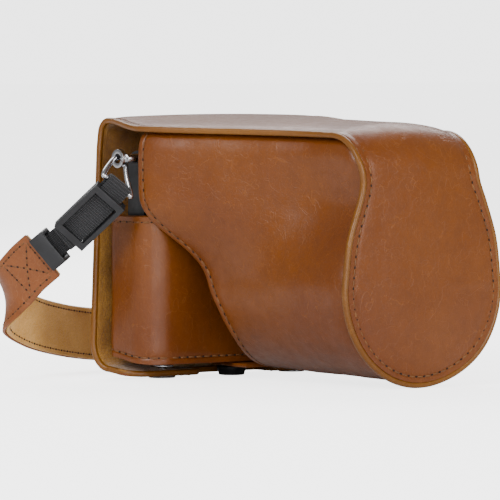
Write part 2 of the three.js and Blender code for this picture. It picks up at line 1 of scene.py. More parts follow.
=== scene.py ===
import math
import bmesh
import bpy
import numpy as np
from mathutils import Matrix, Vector


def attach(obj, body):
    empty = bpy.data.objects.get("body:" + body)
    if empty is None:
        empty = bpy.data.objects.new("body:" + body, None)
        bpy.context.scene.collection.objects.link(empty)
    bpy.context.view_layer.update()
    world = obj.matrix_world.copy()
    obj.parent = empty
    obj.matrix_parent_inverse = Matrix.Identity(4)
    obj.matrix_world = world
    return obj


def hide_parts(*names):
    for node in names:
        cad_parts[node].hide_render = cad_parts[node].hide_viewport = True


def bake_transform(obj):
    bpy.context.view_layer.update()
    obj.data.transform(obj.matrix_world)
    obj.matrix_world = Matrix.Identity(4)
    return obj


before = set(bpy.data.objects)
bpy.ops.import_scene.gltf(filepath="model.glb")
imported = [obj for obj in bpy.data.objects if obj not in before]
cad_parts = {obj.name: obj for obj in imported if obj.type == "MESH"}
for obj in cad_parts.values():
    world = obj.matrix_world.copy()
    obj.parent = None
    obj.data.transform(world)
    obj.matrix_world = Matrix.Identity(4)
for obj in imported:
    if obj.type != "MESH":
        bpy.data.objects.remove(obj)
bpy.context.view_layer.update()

# Leather ever-ready case. Lengths are in millimetres until a mesh is made, in the CAD model's frame.
MM = 0.001
PI = math.pi
scene = bpy.context.scene
SHARP_ANGLE = 45

# The cover's layers: leather alone, leather with its lining, and the width the rolled edge hides.
PLY = 1.1
STACK = 2.0
LINING_START = PLY + 0.1
BINDING = 1.9
EDGE = BINDING + 0.1
COVER_STITCH = 4.0

# The cover: back, lens end (FRONT), top, and the round lobe that closes the lens end.
BACK_Y = 15.2
FRONT_Y = -102
TOP_Z = 92
CROWN = 3
CROWN_BACK = 0.9
BACK_R = 5
FRONT_R = 16
LOBE_R = 34.6
LOBE_Z = 34.6

# The back panel's fold below the cover, and its curve forwards to the under flap's fold.
FOLD_Z = 80
FOLD_HALF = 3
UNDER_R = 7
UNDER_Z = 0.9
UNDER_END_Y = -4
UNDER_FOLD_Y = BACK_Y - UNDER_R
NOTCH_X = 16

# The half case.
GAP = 0.3
CASE_X = 49.5
CASE_FRONT = -15
CASE_BACK = 9.6
CASE_R_FRONT = 10
CASE_R_BACK = 5
CASE_TOP = 58
BACK_WALL_TOP = 26
WINDOW_X = 42
SOLE_Z = 5.6
SOLE_T = 1.9
SHELL_Z = SOLE_Z + SOLE_T + GAP
FLOOR_T = 1.6
BOARD_T = 1.5
LINING_Z = SHELL_Z + FLOOR_T + GAP + BOARD_T + GAP
PORT_R = 22
PORT_Z = 36

# The tongue under the tripod screw's head.
TONGUE_Z = 4
TONGUE_T = 1.3
TONGUE_X = 12
TONGUE_FOLD_Y = -17
TONGUE_ROOT_Y = -23
TONGUE_END_R = 7.5

# The strap and the lug it hangs on.
LUG = (-54.2, -4, 78)
WEB_HALF = 4.5
WEB_T = 1.1
WEB_MID = 1.7
BAND_HALF = 9.2
BAND_T = 1.3
SUEDE_T = 1.0
STITCH_PITCH = 3.6


def smooth(x, a, b):
    """A soft step from 0 at a to 1 at b."""
    t = np.clip((np.asarray(x, float) - a) / (b - a), 0, 1)
    return t * t * (3 - 2 * t)


def through(points, x):
    """A smooth curve through [x, y] points, x rising."""
    last = len(points) - 1
    i = 0
    while i < last - 1 and x > points[i + 1][0]:
        i += 1

    def slope(k):
        a, b = points[max(k - 1, 0)], points[min(k + 1, last)]
        return (b[1] - a[1]) / (b[0] - a[0])

    (x0, y0), (x1, y1) = points[i], points[i + 1]
    span = x1 - x0
    t = min(max((x - x0) / span, 0), 1)
    m0, m1 = slope(i) * span, slope(i + 1) * span
    leaving = y0 * (1 + 2 * t) * (1 - t) ** 2 + m0 * t * (1 - t) ** 2
    return leaving + y1 * t * t * (3 - 2 * t) - m1 * t * t * (1 - t)


# -------- materials
def rgb(code):
    """Linear colour of an sRGB hex code."""
    parts = [int(code[i:i + 2], 16) / 255 for i in (0, 2, 4)]
    return tuple(p / 12.92 if p <= 0.04045 else ((p + 0.055) / 1.055) ** 2.4 for p in parts) + (1,)


class Look:
    """A procedural material: Principled shader with helpers that add nodes."""

    def __init__(self, name, roughness, **constants):
        self.material = bpy.data.materials.new(name)
        self.material.use_nodes = True
        self.tree = self.material.node_tree
        self.shader = self.tree.nodes["Principled BSDF"]
        self.shader.inputs["Roughness"].default_value = roughness
        for key, value in constants.items():
            self.shader.inputs[key.replace("_", " ")].default_value = value
        self.coordinates = self.node("ShaderNodeTexCoord").outputs["Object"]
        self.bump = None

    def node(self, kind, **settings):
        made = self.tree.nodes.new(kind)
        for key, value in settings.items():
            setattr(made, key, value)
        return made

    def link(self, a, b):
        self.tree.links.new(a, b)

    def noise(self, scale, detail=4, roughness=0.55, distortion=0):
        made = self.node("ShaderNodeTexNoise")
        self.link(self.coordinates, made.inputs["Vector"])
        for key, number in (("Scale", scale), ("Detail", detail), ("Roughness", roughness),
                            ("Distortion", distortion)):
            made.inputs[key].default_value = number
        return made.outputs["Fac"]

    def creases(self, scale, half):
        """Thin wandering lines where a noise crosses its middle value."""
        field = self.noise(scale, 2, 0.5, 0.5)
        rising = self.span(field, 0.5 - half, 0.5)
        falling = self.span(field, 0.5, 0.5 + half, 1, 0)
        return self.times(rising, falling)

    def times(self, a, b):
        made = self.node("ShaderNodeMath", operation="MULTIPLY")
        self.link(a, made.inputs[0])
        self.link(b, made.inputs[1])
        return made.outputs[0]

    def cells(self, scale):
        made = self.node("ShaderNodeTexVoronoi")
        self.link(self.coordinates, made.inputs["Vector"])
        made.inputs["Scale"].default_value = scale
        return made.outputs["Distance"]

    def span(self, value, low, high, to_low=0, to_high=1):
        made = self.node("ShaderNodeMapRange")
        self.link(value, made.inputs["Value"])
        for key, number in (("From Min", low), ("From Max", high), ("To Min", to_low), ("To Max", to_high)):
            made.inputs[key].default_value = number
        return made.outputs["Result"]

    def mix(self, factor, a, b):
        made = self.node("ShaderNodeMix", data_type="RGBA")
        self.link(factor, made.inputs["Factor"])
        for socket, value in ((made.inputs[6], a), (made.inputs[7], b)):
            if isinstance(value, tuple):
                socket.default_value = value
            else:
                self.link(value, socket)
        return made.outputs[2]

    def add_bump(self, height, strength, distance):
        made = self.node("ShaderNodeBump")
        made.inputs["Strength"].default_value = strength
        made.inputs["Distance"].default_value = distance
        self.link(height, made.inputs["Height"])
        if self.bump:
            self.link(self.bump, made.inputs["Normal"])
        self.bump = made.outputs["Normal"]

    def done(self, colour, roughness=None):
        self.link(colour, self.shader.inputs["Base Color"])
        if roughness:
            self.link(roughness, self.shader.inputs["Roughness"])
        if self.bump:
            self.link(self.bump, self.shader.inputs["Normal"])
        return self.material


def leather_look(name, dark, middle, light, pale, crease=0.3):
    """Waxed leather: broad tones, fine mottle, pale wax creases and pores."""
    look = Look(name, 0.36, Specular_IOR_Level=0.36, Coat_Weight=0.12, Coat_Roughness=0.2)
    clouds = look.span(look.noise(22, 4, 0.5), 0.36, 0.64)
    mottle = look.span(look.noise(260, 6, 0.7), 0.3, 0.7)
    base = look.mix(clouds, rgb(middle), rgb(light))
    colour = look.mix(look.span(mottle, 0, 1, 0, 0.3), base, rgb(dark))
    fine = look.creases(130, 0.008)
    small = look.creases(520, 0.02)
    colour = look.mix(look.span(fine, 0, 1, 0, 0.25), colour, rgb(pale))
    colour = look.mix(look.span(small, 0, 1, 0, 0.12), colour, rgb(pale))
    look.add_bump(look.noise(95, 7, 0.6, 0.8), crease, 0.0007)
    look.add_bump(fine, 0.35, 0.00012)
    look.add_bump(small, 0.25, 0.0001)
    look.add_bump(look.cells(1500), 0.1, 0.0001)
    return look.done(colour, look.span(mottle, 0, 1, 0.31, 0.47))


def suede_look(name, dark, light):
    """Brushed suede: patches, nap and a little sheen."""
    look = Look(name, 0.95, Sheen_Weight=0.35, Sheen_Roughness=0.45, Specular_IOR_Level=0.2)
    patches = look.span(look.noise(45, 5, 0.6), 0.3, 0.7)
    nap = look.span(look.noise(1500, 4, 0.7), 0.3, 0.7)
    colour = look.mix(patches, rgb(dark), rgb(light))
    colour = look.mix(look.span(nap, 0, 1, 0, 0.7), colour, rgb(dark))
    look.add_bump(look.noise(1300, 6, 0.75), 0.8, 0.0005)
    look.add_bump(look.noise(200, 4, 0.6), 0.35, 0.0008)
    return look.done(colour)


def hard_look(name, dark, light, roughness, metallic=0.0, grain=2400, strength=0.12):
    """Moulded plastic, metal, board or thread, with a fine grain."""
    look = Look(name, roughness, Metallic=metallic)
    tone = look.span(look.noise(160, 5, 0.6), 0.3, 0.7)
    look.add_bump(look.noise(grain, 3), strength, 0.0001)
    rough = look.span(look.noise(420, 5, 0.6), 0.3, 0.7, roughness * 0.8, roughness * 1.25)
    return look.done(look.mix(tone, rgb(dark), rgb(light)), rough)


def webbing_look(name):
    """Woven nylon; its texture coordinates are millimetres along and across."""
    look = Look(name, 0.7, Sheen_Weight=0.15)
    uv = look.node("ShaderNodeUVMap", uv_map="UVMap").outputs["UV"]
    waves = []
    for direction, scale in (("X", 0.34), ("Y", 0.5)):
        wave = look.node("ShaderNodeTexWave", wave_type="BANDS", bands_direction=direction)
        look.link(uv, wave.inputs["Vector"])
        wave.inputs["Scale"].default_value = scale
        waves.append(wave.outputs["Fac"])
    weave_and_shade = look.times(*waves)
    look.add_bump(weave_and_shade, 0.9, 0.0005)
    look.add_bump(look.noise(3500, 3), 0.3, 0.0001)
    # Colour follows the weave's relief: darker in its hollows and lighter on its ribs, painted shade and
    # painted highlight.
    return look.done(look.mix(weave_and_shade, rgb("060607"), rgb("34343a")))


LEATHER_LOOK = leather_look("waxed_leather", "4a2202", "693201", "763d02", "96571c")
STRAP_LOOK = leather_look("strap_leather", "54290f", "7d4319", "8b4e22", "a8754a", 0.2)
SUEDE_LOOK = suede_look("golden_suede", "6e4310", "c78e36")
# The strap's suede is much lighter than the lining's: partly its own tone, partly painted light for the shade
# it lies in.
STRAP_SUEDE_PAINTED_LIGHT_LOOK = suede_look("strap_suede", "b9822f", "f2bd6c")
BINDING_LOOK = leather_look("edge_binding", "4f2c05", "714205", "7e4e09", "9a6a24", 0.35)
BLACK_LOOK = hard_look("black_plastic", "141416", "222225", 0.42)
STEEL_LOOK = hard_look("nickel_steel", "a9a9ac", "c9c9cc", 0.2, 1.0, 900, 0.04)
BOARD_LOOK = hard_look("fibre_board", "3e3024", "57452f", 0.85, 0.0, 700, 0.5)
THREAD_LOOK = hard_look("brown_thread", "532e10", "7d5126", 0.7, 0.0, 1800, 0.5)
# Dark beads in place of the needle holes: painted shade of the holes.
NEEDLE_HOLE_SHADE_LOOK = hard_look("needle_hole_shade", "1c0f06", "2a170a", 0.9, 0.0, 900, 0.2)
WEB_LOOK = webbing_look("nylon_webbing")


# -------- meshes
def make(name, vertices, faces, look, body, slot, stands_for=(), uvs=None):
    """A named piece that rides one body; a piece across a joint, given as (body, body, point, point), is left
    on no body.
    """
    mesh = bpy.data.meshes.new(name)
    mesh.from_pydata((np.asarray(vertices, float) * MM).tolist(), [], [tuple(f) for f in faces])
    if uvs is not None:
        layer = mesh.uv_layers.new(name="UVMap")
        corners = np.empty(len(mesh.loops), np.int64)
        mesh.loops.foreach_get("vertex_index", corners)
        layer.data.foreach_set("uv", np.asarray(uvs, np.float32)[corners].ravel())
    bm = bmesh.new()
    bm.from_mesh(mesh)
    bmesh.ops.remove_doubles(bm, verts=bm.verts, dist=2e-6)
    bmesh.ops.recalc_face_normals(bm, faces=bm.faces)
    bm.to_mesh(mesh)
    bm.free()
    mesh.shade_smooth()
    mesh.set_sharp_from_angle(angle=math.radians(SHARP_ANGLE))
    mesh.materials.append(look)
    piece = bpy.data.objects.new(name, mesh)
    scene.collection.objects.link(piece)
    if isinstance(body, str):
        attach(piece, body)
    else:
        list(body)
        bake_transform(piece)
    if stands_for:
        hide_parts(*stands_for)


def ring_faces(a, b, n):
    """Faces between two closed rings of n points, numbered from a and from b."""
    return [(a + j, a + (j + 1) % n, b + (j + 1) % n, b + j) for j in range(n)]


def loft(rings, closed=False):
    """A skin over closed rings of points, capped at its ends unless it is closed."""
    rings = np.asarray(rings, float)
    count, n = rings.shape[:2]
    faces = []
    for i in range(count if closed else count - 1):
        faces += ring_faces(i * n, ((i + 1) % count) * n, n)
    if not closed:
        faces += [tuple(range(n)), tuple(range((count - 1) * n, count * n))]
    return rings.reshape(-1, 3), faces


def sheet(outer, inner):
    """A thick sheet from two grids of points, with rounded side edges."""
    outer, inner = np.asarray(outer, float), np.asarray(inner, float)
    count, m = outer.shape[:2]
    middle = (outer + inner) / 2
    thick = np.linalg.norm(outer - inner, axis=2, keepdims=True)

    def edge(end, near):
        way = middle[:, end] - middle[:, near]
        length = np.maximum(np.linalg.norm(way, axis=1, keepdims=True), 1e-9)
        return middle[:, end] + way / length * thick[:, end] * 0.3

    rings = np.concatenate([outer, edge(-1, -2)[:, None], inner[:, ::-1], edge(0, 1)[:, None]], axis=1)
    n = rings.shape[1]
    faces = []
    for i in range(count - 1):
        faces += ring_faces(i * n, (i + 1) * n, n)
    for base in (0, (count - 1) * n):
        faces += [(base + j, base + j + 1, base + 2 * m - 1 - j, base + 2 * m - j) for j in range(m - 1)]
        faces += [(base + m - 1, base + m, base + m + 1), (base, base + 2 * m, base + 2 * m + 1)]
    return rings.reshape(-1, 3), faces


def distances(points):
    """How far along its line each point lies."""
    return np.concatenate([[0], np.cumsum(np.linalg.norm(np.diff(points, axis=0), axis=1))])


def resample(points, normals, pitch):
    """Centres, directions and normals at even steps along a line, half a pitch in from its ends."""
    points, normals = np.asarray(points, float), np.asarray(normals, float)
    run = distances(points)
    count = max(int(round((run[-1] - pitch) / pitch)), 1)
    at = np.linspace(pitch / 2, run[-1] - pitch / 2, count + 1)

    def pick(values, s):
        return np.stack([np.interp(s, run, values[:, k]) for k in range(3)], axis=1)

    centre = pick(points, at)
    tangent = pick(points, at + 0.4) - pick(points, at - 0.4)
    tangent /= np.maximum(np.linalg.norm(tangent, axis=1, keepdims=True), 1e-9)
    normal = pick(normals, at)
    normal -= (normal * tangent).sum(1, keepdims=True) * tangent
    normal /= np.maximum(np.linalg.norm(normal, axis=1, keepdims=True), 1e-9)
    return centre, tangent, normal


def beads(centre, tangent, normal, half, width, height, lift, dip):
    """Rounded beads along a line, each one sinking at its ends."""
    side = np.cross(tangent, normal)
    vertices, faces = [], []
    sections, sides = 7, 8
    for c, t, s, n in zip(centre, tangent, side, normal):
        base = len(vertices)
        for i in range(sections):
            u = 2 * i / (sections - 1) - 1
            round_off = math.sqrt(max(1 - abs(u) ** 3, 0.02))
            for j in range(sides):
                a = 2 * PI * j / sides
                vertices.append(c + t * (half * u) + s * (width * round_off * math.cos(a))
                                + n * (lift - dip * u * u + height * round_off * math.sin(a)))
        for i in range(sections - 1):
            faces += ring_faces(base + i * sides, base + (i + 1) * sides, sides)
        for end in (base, base + (sections - 1) * sides):
            faces.append(tuple(range(end, end + sides)))
    return vertices, faces


def sew(name, lines, body, pitch=STITCH_PITCH, thread=0.32, slot="leather"):
    """A row of stitches with dark beads between them, painted shade of the needle holes, along each (points,
    normals) line.
    """
    for kind, look, half, width, height, lift, dip, shift in (
        ("thread", THREAD_LOOK, pitch * 0.37, thread, thread * 0.8, 0.05, 0.3, 0.0),
        ("holes", NEEDLE_HOLE_SHADE_LOOK, 0.5, 0.34, 0.16, 0.02, 0.02, 0.5),
    ):
        vertices, faces = [], []
        for points, normals in lines:
            centre, tangent, normal = resample(points, normals, pitch)
            if shift:
                centre = (centre[1:] + centre[:-1]) / 2
                tangent, normal = tangent[1:], normal[1:]
            v, f = beads(centre, tangent, normal, half, width, height, lift, dip)
            faces += [tuple(k + len(vertices) for k in face) for face in f]
            vertices += v
        make(f"{name}_{kind}", vertices, faces, look, body, slot)


# -------- the cover's strip
REAR_RISE, FRONT_SINK = 1.0, 1.1
RIGHT_FLARE, LEFT_TUCK = 3.2, 3.6


def settle(points):
    """The worn cover's set: raised behind, sunk in front, leaning to the right at the lens end."""
    x, y, z = np.moveaxis(np.asarray(points, float), -1, 0)
    front = smooth(-y, 42, 100)
    rise = (REAR_RISE * smooth(y, -40, 10) - FRONT_SINK * smooth(-y, 30, 100)) * smooth(z, 50, 90)
    aside = RIGHT_FLARE * smooth(x, 4, 30) * front - LEFT_TUCK * smooth(-x, 6, 22) * front * smooth(z, 64, 84)
    return np.stack([x + aside, y, z + rise], axis=-1)


# Distances along the strip from the fold: up the back, over the top, down the lens end to the lobe.
RISE = TOP_Z - BACK_R - FOLD_Z
TOP_START = RISE + BACK_R * PI / 2
TOP_LENGTH = BACK_Y - BACK_R - FRONT_Y - FRONT_R
FACE_START = TOP_START + TOP_LENGTH + FRONT_R * PI / 2
FACE_END = FACE_START + TOP_Z - FRONT_R - LOBE_Z
BACK_TOP_HALF = 49.8
STRIP_WIDTH = [
    (0, BACK_TOP_HALF), (TOP_START, 48.8), (TOP_START + 9, 51), (TOP_START + 18, 53),
    (TOP_START + 25, 53), (TOP_START + 46, 43.6), (TOP_START + 66, 34.6), (TOP_START + 85, 26.2),
    (TOP_START + TOP_LENGTH + 8, 24), (FACE_START, 24.8), (FACE_START + 10, 28),
    (FACE_START + 24, 32.4), (FACE_END, LOBE_R),
]
FACE_DOME = 1.4


def strip_half(s):
    """The strip's half width s along it, and the share of the lobe's radius that is left there."""
    if s <= FACE_END:
        return through(STRIP_WIDTH, s), 1.0
    share = math.cos((s - FACE_END) / LOBE_R)
    return LOBE_R * share, share


def cover_point(s, t, d, inset, reach=0.0):
    """Points of the strip: s along, t across, depth d; the lens end is domed away from its edge."""
    t = np.asarray(t, float)
    d = np.broadcast_to(np.asarray(d, float), t.shape)
    fall = CROWN_BACK + (CROWN - CROWN_BACK) * smooth(s, TOP_START, TOP_START + 24)
    crown = TOP_Z - fall * t * t
    width, share = strip_half(s)
    if s <= RISE:
        y = BACK_Y - d
        z = FOLD_Z + s / RISE * (crown - BACK_R - FOLD_Z)
    elif s <= TOP_START:
        a = (s - RISE) / BACK_R
        y = BACK_Y - BACK_R + (BACK_R - d) * math.cos(a)
        z = crown - BACK_R + (BACK_R - d) * math.sin(a)
    elif s <= TOP_START + TOP_LENGTH:
        y = BACK_Y - BACK_R - (s - TOP_START) + 0 * d
        z = crown - d
    elif s <= FACE_START:
        a = (s - TOP_START - TOP_LENGTH) / FRONT_R
        y = FRONT_Y + FRONT_R - (FRONT_R - d) * math.sin(a)
        z = crown - FRONT_R + (FRONT_R - d) * math.cos(a)
    elif s <= FACE_END:
        f = (s - FACE_START) / (FACE_END - FACE_START)
        top = crown - FRONT_R
        y = FRONT_Y + d
        z = top + f * (LOBE_Z - top)
    else:
        y = FRONT_Y + d
        z = LOBE_Z - (LOBE_R - inset) * math.sin((s - FACE_END) / LOBE_R) + 0 * d
    bulge = FACE_DOME * smooth(reach, BINDING, 26) * smooth(s, TOP_START + TOP_LENGTH, FACE_START + 12)
    return settle(np.stack([t * (width - inset * share), y - bulge, z], axis=-1))


def cover_stations(spacing):
    """Even steps along the strip and closer ones round the lobe."""
    straight = np.linspace(FOLD_HALF, FACE_END, int((FACE_END - FOLD_HALF) / spacing))
    lobe = FACE_END + LOBE_R * np.linspace(0, PI / 2 - 0.03, 46)[1:]
    return list(straight) + list(lobe)


NEAR_EDGE = np.array([0.9, 0.93, 0.96, 0.985, 1])
ACROSS = np.concatenate([-NEAR_EDGE[::-1], np.linspace(-0.86, 0.86, 35), NEAR_EDGE])


def groove(distance, at, depth=0.3, half=0.55):
    """The dent that a row of stitches pulls into the leather."""
    return depth * np.exp(-((np.asarray(distance) - at) / half) ** 2)


def cover_layer(d0, d1, worked):
    """One layer of the cover; the worked one is stitched."""
    outer, inner = [], []
    for s in cover_stations(1.5):
        width, share = strip_half(s)
        if s <= FACE_END:
            reach = np.minimum((1 - np.abs(ACROSS)) * (width - EDGE), 60) + EDGE
        else:
            z = (LOBE_R - EDGE) * math.sin((s - FACE_END) / LOBE_R)
            reach = LOBE_R - np.sqrt((ACROSS * width) ** 2 + z * z)
        depth = d0
        if worked:
            depth = d0 + groove(reach, COVER_STITCH) - 0.18 * smooth(reach, COVER_STITCH, 9)
        outer.append(cover_point(s, ACROSS, depth, EDGE, reach))
        inner.append(cover_point(s, ACROSS, d1, EDGE, reach))
    return sheet(outer, inner)


make("cover_leather", *cover_layer(0, PLY, True), LEATHER_LOOK, "cover", "leather", ["cover_panel"])
make("cover_suede", *cover_layer(LINING_START, STACK, False), SUEDE_LOOK, "cover", "suede",
     ["cover_lining"])


ROLL_MIDDLE = 1.1
ROLL_HALF = 1.05
ROLL_SIDES = 18
ROLL_POWER = 0.85


def rolled(place):
    """The cross-section of the rolled binding, from its (out, depth) place function."""
    ring = []
    for j in range(ROLL_SIDES):
        a = 2 * PI * j / ROLL_SIDES
        c, s = math.cos(a), math.sin(a)
        out = ROLL_MIDDLE + ROLL_HALF * math.copysign(abs(c) ** ROLL_POWER, c)
        depth = STACK / 2 + (STACK / 2 + 0.1) * math.copysign(abs(s) ** ROLL_POWER, s)
        ring.append(place(out, depth))
    return ring


def binding(place, sign, stations):
    """The rolled binding along one edge of a sheet, from its (s, t, depth, out) place function."""
    t = np.array(float(sign))
    return [rolled(lambda out, d: place(s, t, d, out)) for s in stations]


edge_rings = binding(cover_point, -1, cover_stations(1.2))
edge_rings += binding(cover_point, 1, cover_stations(1.2))[::-1]
make("cover_edge_binding", *loft(edge_rings), BINDING_LOOK, "cover", "edge_binding", ["cover_binding"])


def surface_line(place, rows, lift):
    """Points and normals of a line on a sheet, from its (row, depth) place function."""
    points = np.array([place(row, lift) for row in rows])
    return points, points - np.array([place(row, 1.2) for row in rows])


# Down one edge of the cover, round the lobe and up the other.
stations = cover_stations(1.0)
cover_rows = [(s, np.array(-1.0)) for s in stations] + [(s, np.array(1.0)) for s in stations[::-1]]
sew("cover_stitch", [surface_line(lambda row, d: cover_point(*row, d, COVER_STITCH, COVER_STITCH),
                                  cover_rows, 0.15)], "cover")

# -------- gusset and lens tube
GUSSET_FRONT = FRONT_Y + STACK + 0.1
GUSSET_INSET = 1.9
GUSSET_STITCH = 2.7
SHOULDER = 3.2
SHOULDER_RUN = 8
EDGE_TOP = TOP_Z - CROWN - STACK - 0.2
TUBE_SHARE = 0.45
TUBE_TAPER = 2.2
TAPER_LENGTH = 76
FULL_WIDTH_Z = 64
REAR_EDGE = [(3, -23.5), (8, -28.5), (15, -31.4), (25, -30), (34, -26.4), (42, -23.4), (48, -19.6),
             (53, -16), (59, -13), (67, -11), (TOP_Z, -11)]


def gusset_top(y):
    """Height of the gusset's upper edge, under the strip."""
    run = FRONT_Y + FRONT_R - y
    radius = FRONT_R - STACK - 0.1
    return EDGE_TOP if run <= 0 else EDGE_TOP - radius + math.sqrt(max(radius ** 2 - run ** 2, 0))


def rounding(share):
    """How far the gusset has rolled inwards, share of the way round its shoulder."""
    return SHOULDER * (1 - math.sqrt(max(1 - share ** 2, 0)))


def gusset_point(y, a, sign, depth):
    """A point of the gusset: a runs from 0 under the lens tube to 1 at the upper edge."""
    back = min(max((y - FRONT_Y) / TAPER_LENGTH, 0), 1)
    radius = LOBE_R - GUSSET_INSET - TUBE_TAPER * back - depth
    side = LOBE_R - GUSSET_INSET - depth
    ahead = max((GUSSET_FRONT + SHOULDER_RUN - y) / SHOULDER_RUN, 0)
    roll = rounding(ahead)
    if a <= TUBE_SHARE:
        angle = a / TUBE_SHARE * PI / 2
        x = sign * (side - roll) * math.sin(angle)
        z = LOBE_Z - (radius - roll * 0.6) * math.cos(angle)
        return tuple(settle((x, y, z)))
    share = (a - TUBE_SHARE) / (1 - TUBE_SHARE)
    z = LOBE_Z + share * (gusset_top(y) - LOBE_Z)
    along = TOP_START + BACK_Y - BACK_R - max(y, FRONT_Y + 12)
    wall = through(STRIP_WIDTH, along) - GUSSET_INSET - depth
    spread = float(smooth(z, LOBE_Z, FULL_WIDTH_Z))
    above = max((z - gusset_top(y) + SHOULDER_RUN) / SHOULDER_RUN, 0)
    x = side + (wall - side) * spread - rounding(math.hypot(ahead, above))
    return tuple(settle((sign * x, y, z)))


def rear_at(a, sign):
    """Where the gusset's rear edge crosses a, found by stepping towards it."""
    rear = -20.0
    for _ in range(6):
        rear = through(REAR_EDGE, gusset_point(rear, a, sign, 0)[2])
    return rear


def crumple(y, z, sign):
    """Soft waves of the worked leather."""
    return (0.14 * math.sin(0.19 * y + 0.11 * z + 1.3 * sign) * math.sin(0.16 * z - 0.07 * y)
            + 0.06 * math.sin(0.52 * y - 0.33 * z + 0.7) * math.sin(0.47 * z + 0.21 * y))


def gusset_layer(d0, d1, trim, worked):
    """One layer of the gusset, trimmed at the rear; the worked one is stitched."""
    outer, inner = [], []
    for around in np.linspace(-1, 1, 181):
        a, sign = abs(around), (1 if around >= 0 else -1)
        rear = rear_at(a, sign)
        far = np.linspace(GUSSET_FRONT, rear - 5, 60)
        near = rear - 5 + 5 * np.linspace(0, 1, 26)[1:]
        row = np.concatenate([far, near - trim])
        top, low = [], []
        for y in row:
            z = gusset_point(y, a, sign, 0)[2]
            edge = rear - y
            wave, work = 0.0, 0.0
            if worked:
                wave = crumple(y, z, sign) * float(smooth(edge, 3, 12))
                work = float(groove(edge, GUSSET_STITCH, 0.32, 0.5))
                work += 0.35 * float(smooth(edge, 0.6, 0)) - 0.12 * float(smooth(edge, 3.4, 6))
            top.append(gusset_point(y, a, sign, d0 + work + wave))
            low.append(gusset_point(y, a, sign, d1 + wave))
        outer.append(top)
        inner.append(low)
    return sheet(outer, inner)


make("gusset_leather", *gusset_layer(0, 1.3, 0, True), LEATHER_LOOK, "cover", "leather", ["cover_gusset"])
make("gusset_suede", *gusset_layer(1.5, 2.7, 1.2, False), SUEDE_LOOK, "cover", "suede", ["gusset_lining"])


def gusset_rear(around, depth):
    """A point beside the gusset's rear edge."""
    a, sign = abs(around), (1 if around >= 0 else -1)
    return gusset_point(rear_at(a, sign) - GUSSET_STITCH, a, sign, depth)


sew("gusset_stitch", [surface_line(gusset_rear, np.linspace(-1, 1, 260), 0.2)], "cover")

# -------- back panel and its folds
BACK_LOW_HALF = 52.8
FLAP_HALF = 50.3
UNDER_RISE = 12
HEEL = 1.6


def heel_share(x):
    """The raised part of the fold keeps clear of the tripod screw in the middle."""
    return HEEL * smooth(np.abs(x), 20, 32)


STRAIGHT = FOLD_Z - UNDER_RISE - UNDER_Z
BEND_LENGTH = (UNDER_R + UNDER_RISE) * PI / 4


def back_point(s, t, d, inset):
    """Points of the back panel s below the fold, t across, at depth d."""
    t = np.asarray(t, float)
    d = np.broadcast_to(np.asarray(d, float), t.shape)
    z0 = FOLD_Z - min(s, STRAIGHT)
    half = BACK_LOW_HALF + (BACK_TOP_HALF - BACK_LOW_HALF) * (max(z0, 8) - 8) / (FOLD_Z - 8) - inset
    if s <= STRAIGHT:
        return settle(np.stack([t * half, BACK_Y - d, z0 + 0 * d], axis=-1))
    a = (s - STRAIGHT) / BEND_LENGTH * PI / 2
    half -= (BACK_LOW_HALF - FLAP_HALF) * (1 - math.cos(a))
    raised = heel_share(t * half) * math.sin(a)
    return np.stack([t * half, UNDER_FOLD_Y + (UNDER_R - d) * math.cos(a),
                     UNDER_Z + UNDER_RISE - (UNDER_RISE - d) * math.sin(a) + raised], axis=-1)


BACK_END = STRAIGHT + BEND_LENGTH
UNDER_BLEND = 3.4


def panel_point(s, t, d, inset):
    """Like back_point, and above the fold, where s is negative, a point of the cover."""
    return cover_point(-s, t, d, inset) if s < 0 else back_point(s, t, d, inset)


def back_layer(stations, d0, d1, worked):
    """One layer of the back panel; the worked one is stitched."""
    outer, inner = [], []
    for s in stations:
        width = through(STRIP_WIDTH, -s) if s < 0 else BACK_TOP_HALF
        reach = (1 - np.abs(ACROSS)) * (width - EDGE) + EDGE
        depth = d0 + (groove(reach, COVER_STITCH) if worked else 0)
        outer.append(panel_point(s, ACROSS, depth, EDGE))
        inner.append(panel_point(s, ACROSS, d1, EDGE))
    return sheet(outer, inner)


main_rows = list(np.linspace(FOLD_HALF, STRAIGHT, 60)) + list(
    STRAIGHT + np.linspace(0, BACK_END - STRAIGHT - UNDER_BLEND, 14)[1:])
fold_blend = ("cover", "back_flap", (0, BACK_Y * MM, (FOLD_Z + FOLD_HALF) * MM),
              (0, BACK_Y * MM, (FOLD_Z - FOLD_HALF) * MM))
under_blend = ("back_flap", "under_flap", (0, (UNDER_FOLD_Y + UNDER_BLEND) * MM, UNDER_Z * MM),
               (0, (UNDER_FOLD_Y - 0.2) * MM, UNDER_Z * MM))
BACK_PARTS = (
    ("back", main_rows, "back_flap"),
    ("fold", np.linspace(-FOLD_HALF, FOLD_HALF, 13), fold_blend),
    ("under_fold", np.linspace(BACK_END - UNDER_BLEND, BACK_END, 8), under_blend),
)
for kind, d0, d1, look, node in (("leather", 0, PLY, LEATHER_LOOK, "back_panel"),
                                 ("suede", LINING_START, STACK, SUEDE_LOOK, "back_lining")):
    for stem, rows, body in BACK_PARTS:
        make(f"{stem}_{kind}", *back_layer(rows, d0, d1, kind == "leather"), look, body, kind,
             [node] if stem == "back" else ())
for side, sign in (("left", -1), ("right", 1)):
    for stem, rows, body in BACK_PARTS:
        make(f"{stem}_edge_{side}", *loft(binding(panel_point, sign, rows)), BINDING_LOOK, body,
             "edge_binding", [f"back_binding_{side}"] if stem == "back" else ())


def back_line(t):
    """The stitch line down one side."""
    return surface_line(lambda s, d: back_point(s, t, d, COVER_STITCH), main_rows, 0.2)


sew("back_stitch", [back_line(-1), back_line(1)], "back_flap")

# -------- under flap
TAB_STITCH = 2.2


